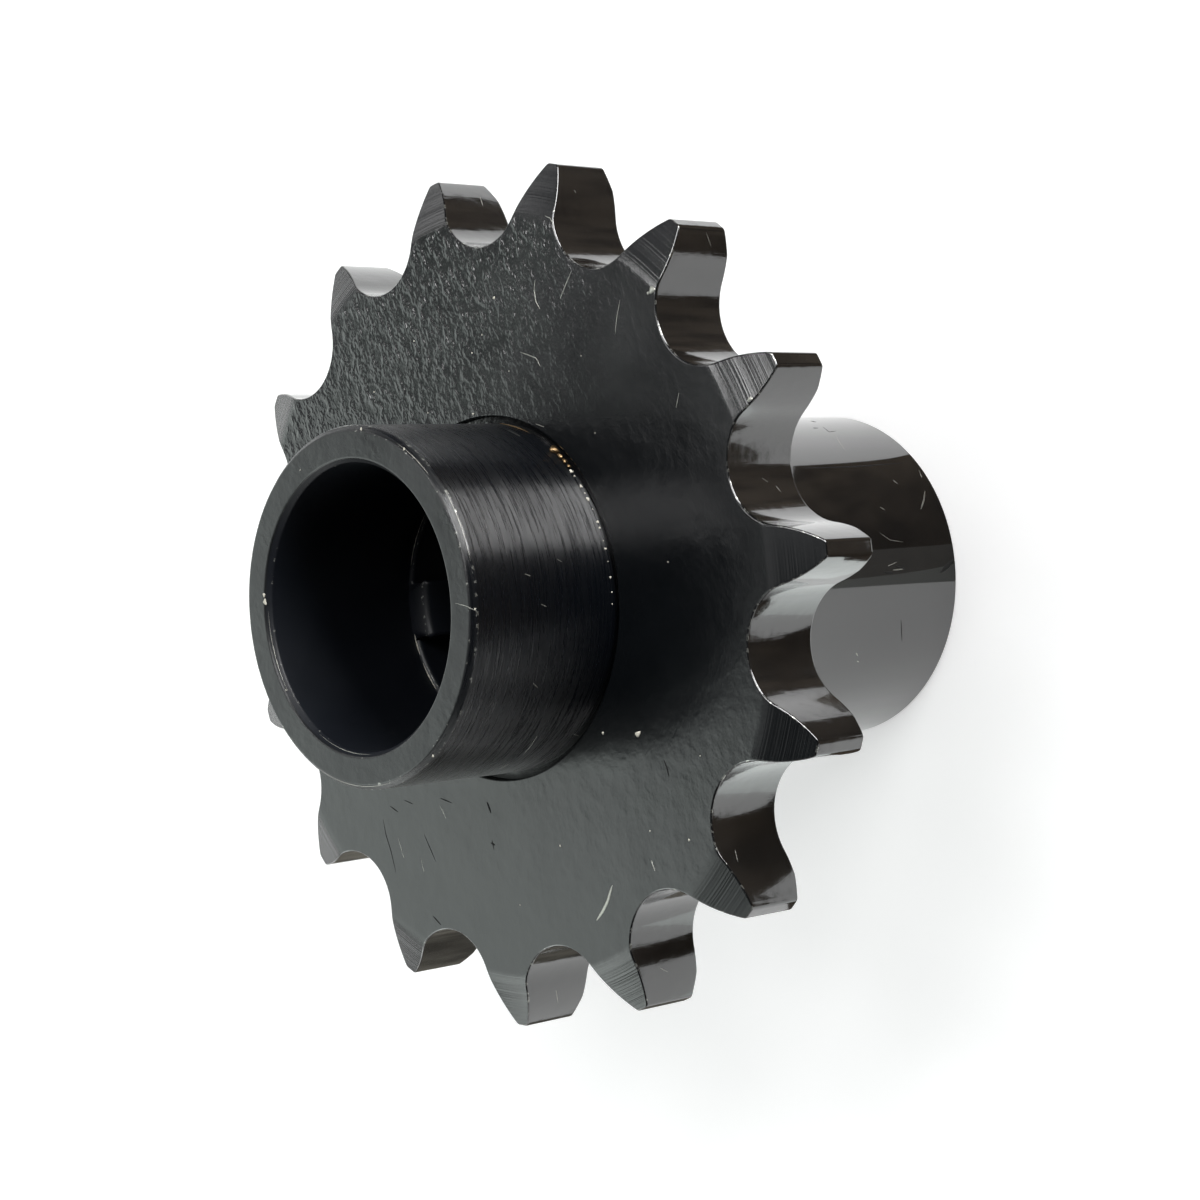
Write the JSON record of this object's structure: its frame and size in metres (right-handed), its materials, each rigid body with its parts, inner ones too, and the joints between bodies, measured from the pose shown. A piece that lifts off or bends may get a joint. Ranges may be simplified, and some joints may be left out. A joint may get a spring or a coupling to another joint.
{
  "type": "front sprocket",
  "caption": "Black front sprocket for a roller chain, with a short turned boss in front, a long hub behind and a stepped bore with a straight spline.",
  "frame": {"origin": "on the sprocket's axis, in the end face of the long rear hub, on which the part stands", "axes": "+Z along the axis from the rear hub to the front boss; +X through the middle of one tooth"},
  "size_m": [0.0644, 0.0648, 0.0517],
  "materials": {
    "blackened_steel": "glossy black lacquer over turned and forged steel"
  },
  "bodies": {
    "root": {"sprocket": "blackened_steel"}
  },
  "joints": []
}
